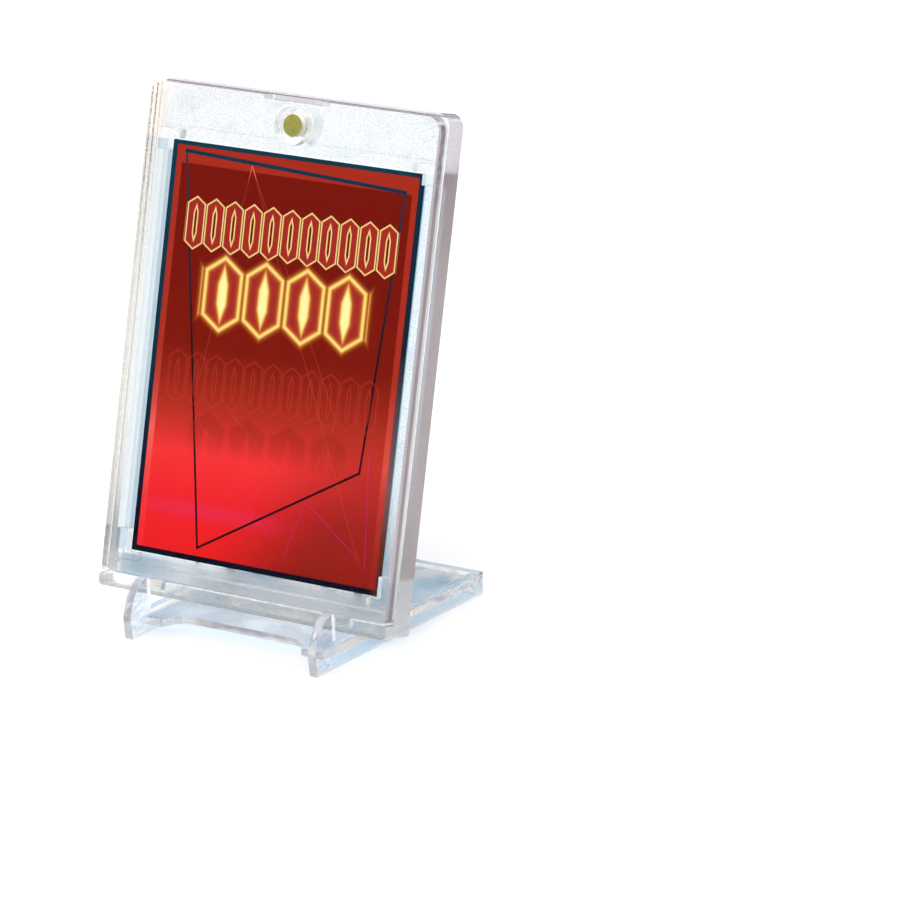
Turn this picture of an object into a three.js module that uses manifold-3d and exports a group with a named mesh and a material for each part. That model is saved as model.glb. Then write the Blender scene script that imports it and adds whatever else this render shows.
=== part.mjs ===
// Magnetic card holder with a trading card, leaning on a two-piece easel stand.
// Units are millimetres and +Z is up. The front faces -Y and +X is to the right.
// The origin is on the resting plane, midway between the outermost faces in X and Y.

import * as THREE from 'three';
import { mergeVertices } from 'three/addons/utils/BufferGeometryUtils.js';
import Module from 'manifold-3d';

const wasm = await Module();
wasm.setup();

// ---- driving dimensions -------------------------------------------------------

const gap = 0.3;                 // clearance between pieces that touch
const bondGap = 0.1;             // clearance round the bonded magnets and their carriers
const overrun = 1;               // how far a cutting solid runs past the face it opens

// card: the standard trading card
const cardWidth = 63.5;
const cardHeight = 88.9;
const cardThickness = 0.7;

// holder: two clear shells that close on each other
const holderWidth = 72.7;
const holderHeight = 110;
const holderDepth = 9.5;
const holderCorner = 3;          // radius of the four corners seen from the front
const coverThickness = 3.5;
const coverDrop = 0.75;          // cover's top edge below the back shell's
const ledgeHeight = 3;           // step along the bottom of the back shell, under the cover
const ledgeProud = 0.4;          // how far the ledge stands out at each side
const ledgeCorner = 1.1;
const cardRise = 8.15;           // card's lower edge above the holder's bottom
const wellWidth = 69.6;
const wellDepth = 2.6;
const wellMargin = 2.6;          // well beyond the card, above and below it
const blockRise = 1.9;           // corner blocks beyond the card's upper and lower edges
const blockSideLeg = 2.2;        // and along those edges from the card's corners
const upperBlockLeg = 2.3;       // and down the card's sides from its upper corners
const lowerBlockLeg = 4.5;       // and up them from its lower corners
const lean = THREE.MathUtils.degToRad(12.35);
const standShift = 1.2;          // the stand's middle is this far right of the holder's

// closure: a magnet in each shell and a pry notch above them
const magnetHeight = 103.5;
const magnetRadius = 2.4;
const magnetThickness = 1.4;
const magnetInset = 0.9;         // from the faces where the shells meet
const carrierRadius = 4.1;
const notchWidth = 14.8;
const notchDepth = 0.85;

// hinge tabs: two short tabs on the cover's lower edge that drop into the ledge
const tabWidth = 6;
const tabThickness = 1.4;
const tabHeight = 1.5;
const tabFront = 1.1;            // tab's front face behind the cover's front face
const tabOffset = 24;            // tab's centre from the middle of the holder

// stand base
const baseWidth = 49.1;
const baseDepth = 65.5;
const railHeight = 5.1;
const railWidth = 2;
const deckTop = 4.2;
const deckThickness = 1.6;
const frontEdge = 8.7;           // straight part of the deck's front edge
const tongueFront = 3.8;         // front of the two tongues beside the hooks
const tongueWidth = 5.4;
const tongueRound = 1;           // where a tongue's inner corner starts to sweep back
const windowWidth = 22;
const frontWindow = [18, 27];
const rearWindow = [38, 58.5];
const pipRadius = 1;             // round ejector marks on the cross-bar
const pipOffset = 8.4;
const pipSetback = 30.1;
const markDepth = 0.15;

// hooks: the rails' raised front ends, which stop the holder sliding off
const hookBulge = 0.7;           // how far their fronts stand ahead of the feet
const hookBulgeHeight = 4.9;
const hookHeight = 12.4;
const hookCrest = 5;             // top of the front curve, back from the feet
const hookTopRear = 6.65;
const hookRear = 7;
const hookRearRound = 0.7;       // drop of the rounded corner behind the crest
const hookCurve = [2, 11.6, 0.1, 8.6];   // handles of the front curve, depth then height

// back panel, which stands in two slots of the base
const panelWidth = 48.9;
const panelFront = 29.5;
const panelThickness = 2.3;
const panelTop = 55.6;
const panelCorner = 2.2;
const ovalWidth = 22.2;
const ovalHeight = 36;
const ovalCentre = 29.6;
const archWidth = 25;
const archRise = 5.9;
const tongueIn = 13.2;           // the tab that enters the slot, from the panel's middle
const tongueOut = 20.5;
const tongueReach = 2.9;         // height of the tab's lower edge above the table
const footProud = 0.4;           // swelling at the panel's lower outer corners
const footTop = 9.6;
const footSlope = 1;             // height over which the swelling dies out
const ribOffset = 16.3;
const ribThickness = 2.2;
const ribReach = 8.7;            // how far a rib runs back along the deck
const ribTop = 34.3;
const ribTopReach = 1.8;
const ribToe = 1.2;              // height of a rib's upright rear end
const markRadius = 1.6;          // round ejector marks near the panel's top corners
const markOffset = 18.7;
const markHeight = 50.1;

// rows of small raised lozenges, on the holder's ledge and on the stand's rear bar
const lozengeWidth = 2;
const lozengeHeight = 1.5;
const lozengePitch = 2.9;
const lozengeProud = 0.25;
const ledgeLozenges = 7;
const barLozenges = 5;

// ---- materials ----------------------------------------------------------------

function finish(color, roughness, metalness) {
  return new THREE.MeshStandardMaterial({ color, roughness, metalness });
}

const standPlastic = finish(0xcbd2db, 0.08, 0);
const holderPlastic = finish(0xdde6ea, 0.12, 0);
const coverPlastic = finish(0xe8f0f3, 0.12, 0);
const goldPlate = finish(0x9c9350, 0.3, 1);
const cardBoard = finish(0xc02a20, 0.35, 0);

// ---- solids -------------------------------------------------------------------

function toSolid(geometry) {
  const bare = geometry.index ? geometry.toNonIndexed() : geometry.clone();
  bare.deleteAttribute('normal');
  bare.deleteAttribute('uv');
  const merged = mergeVertices(bare, 1e-4);
  return new wasm.Manifold(new wasm.Mesh({
    numProp: 3,
    vertProperties: new Float32Array(merged.attributes.position.array),
    triVerts: new Uint32Array(merged.index.array),
  }));
}

function piece(solid, name, material) {
  const { vertProperties, triVerts } = solid.getMesh();
  const geometry = new THREE.BufferGeometry();
  geometry.setAttribute('position', new THREE.BufferAttribute(new Float32Array(vertProperties), 3));
  geometry.setIndex(new THREE.BufferAttribute(new Uint32Array(triVerts), 1));
  geometry.computeVertexNormals();
  const mesh = new THREE.Mesh(geometry, material);
  mesh.name = name;
  return mesh;
}

function block(x, y, z) {
  const geometry = new THREE.BoxGeometry(x[1] - x[0], y[1] - y[0], z[1] - z[0]);
  geometry.translate((x[0] + x[1]) / 2, (y[0] + y[1]) / 2, (z[0] + z[1]) / 2);
  return toSolid(geometry);
}

// An XZ outline, seen from the front, given thickness from y0 back to y1.
function upright(shape, y0, y1, curveSegments = 12) {
  const geometry = new THREE.ExtrudeGeometry(shape, {
    depth: y1 - y0,
    bevelEnabled: false,
    curveSegments,
  });
  geometry.rotateX(Math.PI / 2);
  geometry.translate(0, y1, 0);
  return toSolid(geometry);
}

// A YZ outline, seen from the side, given thickness from x0 to x1.
function profile(shape, x0, x1) {
  const geometry = new THREE.ExtrudeGeometry(shape, { depth: x1 - x0, bevelEnabled: false });
  geometry.rotateX(Math.PI / 2);
  geometry.rotateZ(Math.PI / 2);
  geometry.translate(x0, 0, 0);
  return toSolid(geometry);
}

// An XY outline, seen from above, given height from z0 to z1.
function flat(shape, z0, z1) {
  const geometry = new THREE.ExtrudeGeometry(shape, { depth: z1 - z0, bevelEnabled: false });
  geometry.translate(0, 0, z0);
  return toSolid(geometry);
}

// A disc whose axis runs front to back.
function disc(radius, y0, y1, x, z) {
  const geometry = new THREE.CylinderGeometry(radius, radius, y1 - y0, 64);
  geometry.translate(x, (y0 + y1) / 2, z);
  return toSolid(geometry);
}

function pillar(radius, z0, z1, x, y) {
  const geometry = new THREE.CylinderGeometry(radius, radius, z1 - z0, 24);
  geometry.rotateX(Math.PI / 2);
  geometry.translate(x, y, (z0 + z1) / 2);
  return toSolid(geometry);
}

function roundedRectangle(halfWidth, low, high, lowRadius, highRadius) {
  const shape = new THREE.Shape();
  shape.moveTo(-halfWidth + lowRadius, low);
  shape.lineTo(halfWidth - lowRadius, low);
  shape.absarc(halfWidth - lowRadius, low + lowRadius, lowRadius, -Math.PI / 2, 0);
  shape.lineTo(halfWidth, high - highRadius);
  shape.absarc(halfWidth - highRadius, high - highRadius, highRadius, 0, Math.PI / 2);
  shape.lineTo(-halfWidth + highRadius, high);
  shape.absarc(-halfWidth + highRadius, high - highRadius, highRadius, Math.PI / 2, Math.PI);
  shape.lineTo(-halfWidth, low + lowRadius);
  shape.absarc(-halfWidth + lowRadius, low + lowRadius, lowRadius, Math.PI, Math.PI * 1.5);
  return shape;
}

function lozenge(across, up) {
  const shape = new THREE.Shape();
  shape.moveTo(across - lozengeWidth / 2, up);
  shape.lineTo(across, up - lozengeHeight / 2);
  shape.lineTo(across + lozengeWidth / 2, up);
  shape.lineTo(across, up + lozengeHeight / 2);
  return shape;
}

const sides = [-1, 1];

function ordered(a, b) {
  return a < b ? [a, b] : [b, a];
}

// ---- stand base ---------------------------------------------------------------

// Side rail with its foot and the curved hook that stops the holder sliding off.
function railShape() {
  const shape = new THREE.Shape();
  shape.moveTo(0, 0);
  shape.lineTo(baseDepth, 0);
  shape.lineTo(baseDepth, railHeight);
  shape.lineTo(hookRear, railHeight);
  shape.lineTo(hookTopRear, hookHeight - hookRearRound);
  shape.quadraticCurveTo(hookTopRear - hookRearRound / 2, hookHeight, hookCrest, hookHeight);
  shape.bezierCurveTo(...hookCurve, -hookBulge, hookBulgeHeight);
  return shape;
}

// Deck seen from above: a plate with a tongue beside each hook and two windows.
function deckShape() {
  const inner = baseWidth / 2 - railWidth / 2;
  const step = inner - railWidth / 2 - tongueWidth;
  const sweep = frontEdge - tongueFront;
  const shape = new THREE.Shape();
  shape.moveTo(-inner, baseDepth - railWidth / 2);
  shape.lineTo(-inner, tongueFront);
  shape.lineTo(-step - tongueRound, tongueFront);
  shape.bezierCurveTo(-step, tongueFront, -step, frontEdge, -step + sweep, frontEdge);
  shape.lineTo(step - sweep, frontEdge);
  shape.bezierCurveTo(step, frontEdge, step, tongueFront, step + tongueRound, tongueFront);
  shape.lineTo(inner, tongueFront);
  shape.lineTo(inner, baseDepth - railWidth / 2);
  for (const [front, back] of [frontWindow, rearWindow]) {
    shape.holes.push(windowPath(windowWidth / 2, front, back));
  }
  return shape;
}

function windowPath(halfWidth, front, back) {
  const path = new THREE.Path();
  path.moveTo(-halfWidth, front);
  path.lineTo(-halfWidth, back);
  path.lineTo(halfWidth, back);
  path.lineTo(halfWidth, front);
  path.closePath();
  return path;
}

function makeBase() {
  const half = baseWidth / 2;
  const deckBottom = deckTop - deckThickness;
  let solid = flat(deckShape(), deckBottom, deckTop);
  for (const side of sides) {
    const rail = ordered(side * half, side * (half - railWidth));
    solid = solid.add(profile(railShape(), rail[0], rail[1]));
  }
  const inner = half - railWidth / 2;
  solid = solid.add(block([-inner, inner], [baseDepth - railWidth, baseDepth], [0, railHeight]));
  const barMiddle = (rearWindow[1] + baseDepth - railWidth) / 2;
  for (let index = 0; index < barLozenges; index += 1) {
    const centre = (index - (barLozenges - 1) / 2) * lozengePitch;
    const mark = flat(lozenge(centre, barMiddle), deckTop - overrun, deckTop + lozengeProud);
    solid = solid.add(mark);
  }
  for (const side of sides) {
    const across = ordered(side * (tongueIn - gap), side * (tongueOut + gap));
    const along = [panelFront - gap, panelFront + panelThickness + gap];
    solid = solid.subtract(block(across, along, [deckBottom - overrun, deckTop + overrun]));
    const pip = pillar(pipRadius, deckTop - markDepth, deckTop + overrun, side * pipOffset, pipSetback);
    solid = solid.subtract(pip);
  }
  return piece(solid, 'stand_base', standPlastic);
}

// ---- back panel ---------------------------------------------------------------

function panelShape() {
  const half = panelWidth / 2;
  const footHalf = half + footProud;
  const overRail = railHeight + gap;
  const overDeck = deckTop + gap;
  const insideRail = baseWidth / 2 - railWidth - gap;
  const cornerCentre = panelTop - panelCorner;
  const rightFoot = [
    [archWidth / 2, overDeck],
    [tongueIn, overDeck],
    [tongueIn, tongueReach],
    [tongueOut, tongueReach],
    [tongueOut, overDeck],
    [insideRail, overDeck],
    [insideRail, overRail],
    [footHalf, overRail],
    [footHalf, footTop],
    [half, footTop + footSlope],
  ];
  const shape = new THREE.Shape();
  shape.moveTo(...rightFoot[0]);
  for (const [x, z] of rightFoot.slice(1)) {
    shape.lineTo(x, z);
  }
  shape.absarc(half - panelCorner, cornerCentre, panelCorner, 0, Math.PI / 2);
  shape.absarc(-half + panelCorner, cornerCentre, panelCorner, Math.PI / 2, Math.PI);
  for (const [x, z] of rightFoot.toReversed()) {
    shape.lineTo(-x, z);
  }
  shape.absellipse(0, overDeck, archWidth / 2, archRise, Math.PI, 0, true);
  const oval = new THREE.Path();
  oval.absellipse(0, ovalCentre, ovalWidth / 2, ovalHeight / 2, 0, Math.PI * 2);
  shape.holes.push(oval);
  return shape;
}

function ribShape() {
  const panelRear = panelFront + panelThickness;
  const overDeck = deckTop + gap;
  const shape = new THREE.Shape();
  shape.moveTo(panelRear - gap, overDeck);
  shape.lineTo(panelRear + ribReach, overDeck);
  shape.lineTo(panelRear + ribReach, overDeck + ribToe);
  shape.lineTo(panelRear + ribTopReach, ribTop);
  shape.lineTo(panelRear - gap, ribTop);
  return shape;
}

function makePanel() {
  let solid = upright(panelShape(), panelFront, panelFront + panelThickness, 36);
  for (const side of sides) {
    const centre = side * ribOffset;
    solid = solid.add(profile(ribShape(), centre - ribThickness / 2, centre + ribThickness / 2));
    const markFloor = panelFront + markDepth;
    const mark = disc(markRadius, panelFront - overrun, markFloor, side * markOffset, markHeight);
    solid = solid.subtract(mark);
  }
  return piece(solid, 'back_panel', standPlastic);
}

// ---- card holder, upright in its own frame ------------------------------------
// There y runs from the cover's front face at 0 to the back shell's rear face.

const shellFront = coverThickness + gap;
const wellFloor = shellFront + wellDepth;
const cardTop = cardRise + cardHeight;

// L-shaped blocks that hold the card by its corners.
function cornerBlocks() {
  const blocks = [];
  const outer = wellWidth / 2 + gap;
  const inner = cardWidth / 2 + gap;
  const legEnd = cardWidth / 2 - blockSideLeg;
  const depth = [shellFront, wellFloor + gap];
  const upper = { edge: cardTop + gap, rise: blockRise, reach: cardTop - upperBlockLeg };
  const lower = { edge: cardRise - gap, rise: -blockRise, reach: cardRise + lowerBlockLeg };
  for (const side of sides) {
    for (const { edge, rise, reach } of [upper, lower]) {
      const far = edge + rise;
      const upLeg = block(ordered(side * inner, side * outer), depth, ordered(far, reach));
      const sideLeg = block(ordered(side * legEnd, side * outer), depth, ordered(far, edge));
      blocks.push(upLeg.add(sideLeg));
    }
  }
  return blocks;
}

function hingeSlot(side) {
  const half = tabWidth / 2 + gap;
  const across = ordered(side * (tabOffset - half), side * (tabOffset + half));
  const along = [tabFront - gap, coverThickness - gap];
  return block(across, along, [ledgeHeight - tabHeight - gap, ledgeHeight + overrun]);
}

// Hole through a shell for the plug that carries its magnet.
function carrierBore(from, to) {
  return disc(carrierRadius + bondGap, from - overrun, to + overrun, 0, magnetHeight);
}

function makeBackShell() {
  const half = holderWidth / 2;
  const body = roundedRectangle(half, 0, holderHeight, ledgeCorner, holderCorner);
  const ledge = roundedRectangle(half + ledgeProud, 0, ledgeHeight, ledgeCorner, ledgeCorner);
  const wellLow = cardRise - gap - wellMargin;
  const wellHigh = cardTop + gap + wellMargin;
  const wellSpan = [-wellWidth / 2, wellWidth / 2];
  const well = block(wellSpan, [shellFront - overrun, wellFloor], [wellLow, wellHigh]);
  let solid = upright(body, shellFront, holderDepth).add(upright(ledge, 0, holderDepth));
  solid = solid.subtract(well);
  for (const corner of cornerBlocks()) {
    solid = solid.add(corner);
  }
  solid = solid.subtract(carrierBore(shellFront, holderDepth));
  for (const side of sides) {
    solid = solid.subtract(hingeSlot(side));
  }
  for (let index = 0; index < ledgeLozenges; index += 1) {
    const centre = (index - (ledgeLozenges - 1) / 2) * lozengePitch;
    solid = solid.add(upright(lozenge(centre, ledgeHeight / 2), -lozengeProud, overrun));
  }
  return piece(solid, 'back_shell', holderPlastic);
}

function makeCover() {
  const low = ledgeHeight + gap;
  const high = holderHeight - coverDrop;
  const outline = roundedRectangle(holderWidth / 2, low, high, ledgeCorner, holderCorner);
  const notchSpan = [-notchWidth / 2, notchWidth / 2];
  const through = [-overrun, coverThickness + overrun];
  const notch = block(notchSpan, through, [high - notchDepth, high + overrun]);
  const tabDepth = [tabFront, tabFront + tabThickness];
  let solid = upright(outline, 0, coverThickness);
  solid = solid.subtract(notch).subtract(carrierBore(0, coverThickness));
  for (const side of sides) {
    const across = ordered(side * (tabOffset - tabWidth / 2), side * (tabOffset + tabWidth / 2));
    solid = solid.add(block(across, tabDepth, [low - tabHeight, low + overrun]));
  }
  return piece(solid, 'front_cover', coverPlastic);
}

// Clear plug through a shell, flush with its outer face. The magnet lies on the floor of
// a pocket that opens where the shells meet.
function makeCarrier(name, inner, outer, material) {
  const inwards = Math.sign(inner - outer);
  const floor = inner - inwards * (magnetInset + magnetThickness + bondGap);
  const pocketDepth = ordered(floor, inner + inwards * overrun);
  const plug = disc(carrierRadius, ...ordered(inner, outer), 0, magnetHeight);
  const pocket = disc(magnetRadius + bondGap, ...pocketDepth, 0, magnetHeight);
  return piece(plug.subtract(pocket), name, material);
}

function makeMagnet(name, inner, outer) {
  const inwards = Math.sign(inner - outer);
  const near = inner - inwards * magnetInset;
  const far = near - inwards * magnetThickness;
  return piece(disc(magnetRadius, ...ordered(near, far), 0, magnetHeight), name, goldPlate);
}

function makeCard() {
  const back = wellFloor - gap;
  const solid = block([-cardWidth / 2, cardWidth / 2], [back - cardThickness, back], [cardRise, cardTop]);
  return piece(solid, 'card', cardBoard);
}

// ---- assembly -----------------------------------------------------------------

const stand = new THREE.Group();
stand.position.x = standShift;
stand.add(makeBase(), makePanel());

// The holder's lowest edge is its rear bottom edge, which stands on the rails, and
// its rear face leans on the panel's upper front edge.
const holder = new THREE.Group();
const lowest = railHeight + gap;
const leanLine = panelFront - gap / Math.cos(lean) - (panelTop - lowest) * Math.tan(lean);
holder.position.y = leanLine - holderDepth * Math.cos(lean);
holder.position.z = lowest + holderDepth * Math.sin(lean);
holder.rotation.x = -lean;
holder.add(
  makeBackShell(),
  makeCover(),
  makeCard(),
  makeCarrier('front_magnet_carrier', coverThickness, 0, coverPlastic),
  makeMagnet('front_magnet', coverThickness, 0),
  makeCarrier('back_magnet_carrier', shellFront, holderDepth, holderPlastic),
  makeMagnet('back_magnet', shellFront, holderDepth),
);

const assembly = new THREE.Group();
assembly.add(stand, holder);
assembly.position.y = -(baseDepth - hookBulge) / 2;

export default assembly;
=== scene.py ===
import math

import bpy
from mathutils import Matrix, Vector


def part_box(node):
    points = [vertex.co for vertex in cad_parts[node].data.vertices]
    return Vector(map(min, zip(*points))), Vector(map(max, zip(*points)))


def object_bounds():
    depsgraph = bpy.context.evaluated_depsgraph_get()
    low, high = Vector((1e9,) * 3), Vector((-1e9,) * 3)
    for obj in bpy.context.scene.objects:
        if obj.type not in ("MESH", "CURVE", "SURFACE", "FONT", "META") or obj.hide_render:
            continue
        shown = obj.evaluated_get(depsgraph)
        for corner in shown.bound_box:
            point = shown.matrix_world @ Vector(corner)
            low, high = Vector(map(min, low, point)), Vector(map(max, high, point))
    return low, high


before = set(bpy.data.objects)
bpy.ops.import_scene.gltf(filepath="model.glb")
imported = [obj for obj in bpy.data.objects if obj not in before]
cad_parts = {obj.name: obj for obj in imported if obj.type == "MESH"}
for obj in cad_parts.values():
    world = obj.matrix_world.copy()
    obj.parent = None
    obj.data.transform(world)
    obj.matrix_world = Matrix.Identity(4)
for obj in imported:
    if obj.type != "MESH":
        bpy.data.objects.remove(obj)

MM = 0.001

cad_low, cad_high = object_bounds()

# ---- where the leaning holder is ------------------------------------------------

LEAN = math.radians(12.35)
CARD_W = 63.5 * MM
CARD_H = 88.9 * MM
CARD_FRONT = 5.4 * MM       # card's face behind the cover's front face
CARD_RISE = 8.15 * MM       # card's lower edge above the holder's bottom


def holder_matrix():
    """The holder's own frame: x across, y from its front face back, z up along it."""
    low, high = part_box("card")
    turn = Matrix.Rotation(-LEAN, 4, "X")
    near = turn @ Vector((0, CARD_FRONT, CARD_RISE))
    far = turn @ Vector((0, CARD_FRONT, CARD_RISE + CARD_H))
    origin = Vector(((low.x + high.x) / 2, low.y - near.y, high.z - far.z))
    return Matrix.Translation(origin) @ turn


HOLDER = holder_matrix()

# ---- node helpers ---------------------------------------------------------------


class Tree:
    """A material's node tree, with short ways to add and link nodes."""

    def __init__(self, name):
        self.material = bpy.data.materials.new(name)
        self.material.use_nodes = True
        self.nodes = self.material.node_tree.nodes
        self.links = self.material.node_tree.links
        self.nodes.clear()

    def put(self, socket, value):
        if isinstance(value, bpy.types.NodeSocket):
            self.links.new(value, socket)
        elif value is not None:
            socket.default_value = value

    def add(self, kind, settings=None, **inputs):
        node = self.nodes.new(kind)
        for key, value in (settings or {}).items():
            setattr(node, key, value)
        for key, value in inputs.items():
            self.put(node.inputs[key.replace("_", " ")], value)
        return node

    def math(self, operation, a, b=None, c=None, clamp=False):
        node = self.nodes.new("ShaderNodeMath")
        node.operation = operation
        node.use_clamp = clamp
        for socket, value in zip(node.inputs, (a, b, c)):
            self.put(socket, value)
        return node.outputs[0]

    def vector(self, operation, a, b=None, output=0):
        node = self.nodes.new("ShaderNodeVectorMath")
        node.operation = operation
        self.put(node.inputs[0], a)
        if operation == "SCALE":
            self.put(node.inputs["Scale"], b)
        else:
            self.put(node.inputs[1], b)
        return node.outputs[output]

    def fade(self, value, start, end):
        """0 up to start, 1 from end on, and smooth between them."""
        node = self.nodes.new("ShaderNodeMapRange")
        node.interpolation_type = "SMOOTHSTEP"
        for socket, number in zip(node.inputs, (value, start, end, 0.0, 1.0)):
            self.put(socket, number)
        return node.outputs[0]

    def mix(self, factor, a, b, blend="MIX"):
        node = self.nodes.new("ShaderNodeMix")
        node.data_type = "RGBA"
        node.blend_type = blend
        self.put(node.inputs[0], factor)
        self.put(node.inputs[6], a)
        self.put(node.inputs[7], b)
        return node.outputs[2]

    def ramp(self, value, stops):
        node = self.nodes.new("ShaderNodeValToRGB")
        self.fill_ramp(node, stops)
        self.put(node.inputs[0], value)
        return node.outputs[0]

    def overlay(self, colour, value, stops):
        """A colour under a ramp, whose alpha is how much of the colour it covers."""
        node = self.nodes.new("ShaderNodeValToRGB")
        self.fill_ramp(node, stops)
        self.put(node.inputs[0], value)
        return self.mix(node.outputs["Alpha"], colour, node.outputs["Color"])

    def times(self, *values):
        product = values[0]
        for value in values[1:]:
            product = self.math("MULTIPLY", product, value)
        return product

    def fill_ramp(self, node, stops):
        elements = node.color_ramp.elements
        while len(elements) < len(stops):
            elements.new(0.5)
        for element, (position, colour) in zip(elements, stops):
            element.position = position
            element.color = colour

    def place(self, matrix=None):
        """Object coordinates, or the coordinates in another frame, in millimetres."""
        vector = self.nodes.new("ShaderNodeTexCoord").outputs["Object"]
        if matrix is not None:
            mapping = self.nodes.new("ShaderNodeMapping")
            mapping.vector_type = "TEXTURE"
            mapping.inputs["Location"].default_value = matrix.to_translation()
            mapping.inputs["Rotation"].default_value = matrix.to_euler()
            self.links.new(vector, mapping.inputs["Vector"])
            vector = mapping.outputs[0]
        scale = self.nodes.new("ShaderNodeVectorMath")
        scale.operation = "SCALE"
        scale.inputs["Scale"].default_value = 1 / MM
        self.links.new(vector, scale.inputs[0])
        return scale.outputs[0]

    def split(self, vector):
        return self.add("ShaderNodeSeparateXYZ", Vector=vector).outputs

    def noise(self, vector, scale, detail=2.0, roughness=0.5):
        node = self.add(
            "ShaderNodeTexNoise", Vector=vector, Scale=scale, Detail=detail, Roughness=roughness,
        )
        return node.outputs[0]

    def blend(self, factor, a, b):
        """Shader a where factor is 0 and shader b where it is 1."""
        node = self.nodes.new("ShaderNodeMixShader")
        for socket, value in zip(node.inputs, (factor, a, b)):
            self.put(socket, value)
        return node.outputs[0]

    def output(self, shader):
        out = self.nodes.new("ShaderNodeOutputMaterial")
        self.links.new(shader, out.inputs["Surface"])
        return self.material


def grey(level):
    return (level, level, level, 1.0)


# ---- clear plastic --------------------------------------------------------------

PLASTIC_IOR = 1.49
NO_TINT = (1.0, 1.0, 1.0, 1)
# Painted shade: dark lines, and paler ones for the stand, on each side of a rounded edge
EDGE_SHADE = (0.20, 0.15, 0.16)      # the thin lines on each side of a rounded edge
SOFT_EDGE_SHADE = (0.50, 0.44, 0.42)


class Plastic(Tree):
    """Clear plastic. Its coordinates are the holder's or the stand's, in millimetres."""

    def __init__(self, name, matrix=None):
        super().__init__(name)
        self.at = self.place(matrix)
        self.x, self.y, self.z = self.split(self.at)[:3]
        normal = self.nodes.new("ShaderNodeTexCoord").outputs["Normal"]
        turn = (matrix or Matrix.Identity(4)).to_3x3()
        along = [self.vector("DOT_PRODUCT", normal, axis, output="Value") for axis in turn.col]
        self.sideways, self.forward, self.upward = (self.math("ABSOLUTE", part) for part in along)

    def squareness(self):
        """1 on faces square to an axis, and 0.7 in the middle of a rounded edge."""
        return self.math("MAXIMUM", self.math("MAXIMUM", self.sideways, self.forward), self.upward)

    def stretched(self, across, deep, up, detail=2.0):
        """Noise with its own scale along each axis, per millimetre."""
        return self.noise(self.vector("MULTIPLY", self.at, (across, deep, up)), 1.0, detail)

    def shaded_edge_lines(self, tint, facing, line=EDGE_SHADE):
        """Painted shade: a clear line between two dark ones along rounded edges, where facing goes from 0 to
        1.
        """
        clear = NO_TINT[:3]
        return self.overlay(tint, facing, [
            (0.04, (*line, 0)), (0.12, (*line, 1)), (0.36, (*line, 1)), (0.50, (*clear, 1)),
            (0.86, (*clear, 1)), (0.94, (*line, 1)), (0.985, (*line, 1)), (0.998, (*line, 0)),
        ])

    def finish(self, tint, shadow, roughness, height):
        """Bends and tints what is behind it, but lets lamps and the floor's light straight through."""
        bump = self.add("ShaderNodeBump", Strength=1.0, Distance=MM, Height=height)
        body = self.add(
            "ShaderNodeBsdfPrincipled", Base_Color=tint, Roughness=roughness, IOR=PLASTIC_IOR,
        )
        body.inputs["Transmission Weight"].default_value = 1.0
        self.links.new(bump.outputs[0], body.inputs["Normal"])
        through = self.add("ShaderNodeBsdfTransparent", Color=shadow).outputs[0]
        path = self.nodes.new("ShaderNodeLightPath")
        seen = self.blend(path.outputs["Is Diffuse Ray"], body.outputs[0], through)
        return self.output(self.blend(path.outputs["Is Shadow Ray"], seen, through))


# ---- the stand's plastic --------------------------------------------------------

DECK_UNDER = 2.6            # heights over the table, in millimetres
DECK_TOP = 4.2
RAIL_TOP = 5.1
HOOK_REAR = -25.5           # rear of the hooks, measured back from the stand's middle


def deck_shade_tint(tree):
    """Painted shade: grey at the front of the deck under the holder's ledge, pale in its middle, and blue at
    its rear.
    """
    ahead, middle, behind = (0.53, 0.56, 0.62, 1), (0.93, 0.95, 0.96, 1), (0.44, 0.60, 0.69, 1)
    tint = tree.mix(tree.fade(tree.y, -19, -14), ahead, middle)
    return tree.mix(tree.fade(tree.y, -6, 12), tint, behind)


def cut_face_reflections(tree):
    """Painted reflections and shade: lilac and cream patches on edges that look ahead, and blue-grey on
    those that look sideways.
    """
    patches = tree.fade(tree.stretched(0.3, 0.3, 0.5), 0.44, 0.52)
    ahead = tree.mix(patches, (0.74, 0.70, 0.76, 1), (1.0, 0.93, 0.88, 1))
    return tree.mix(tree.sideways, ahead, (0.86, 0.90, 0.93, 1))


def rail_side_shade_and_glints(tree, tint):
    """Painted shade and glints: blue-grey on the hooks and low on the rails, and a band level with the deck,
    cream then lilac.
    """
    facing = tree.fade(tree.sideways, 0.9, 0.98)
    patches = tree.fade(tree.stretched(1.0, 0.5, 1.2), 0.45, 0.52)
    above_foot = tree.fade(tree.z, 0.35, 0.5)

    hook = tree.times(facing, tree.fade(tree.y, HOOK_REAR + 1.5, HOOK_REAR - 1.5), above_foot)
    tint = tree.mix(hook, tint, tree.mix(patches, (0.60, 0.66, 0.73, 1), (0.82, 0.85, 0.88, 1)))

    rail = tree.times(facing, tree.fade(tree.y, HOOK_REAR - 1.5, HOOK_REAR + 1.5))
    low = tree.times(rail, tree.fade(tree.z, DECK_UNDER + 0.1, DECK_UNDER - 0.1), above_foot)
    tint = tree.mix(low, tint, (0.66, 0.74, 0.80, 1))

    # painted glint: the cream band level with the deck, lilac further back
    lilac = tree.mix(patches, (0.62, 0.60, 0.70, 1), (1.0, 0.96, 0.93, 1))
    band = tree.mix(tree.fade(tree.y, 12, 14), (1.0, 0.86, 0.70, 1), lilac)
    above_under = tree.fade(tree.z, DECK_UNDER + 0.1, DECK_UNDER + 0.3)
    below_top = tree.fade(tree.z, DECK_TOP + 0.1, DECK_TOP - 0.1)
    return tree.mix(tree.times(rail, above_under, below_top), tint, band)


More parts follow.
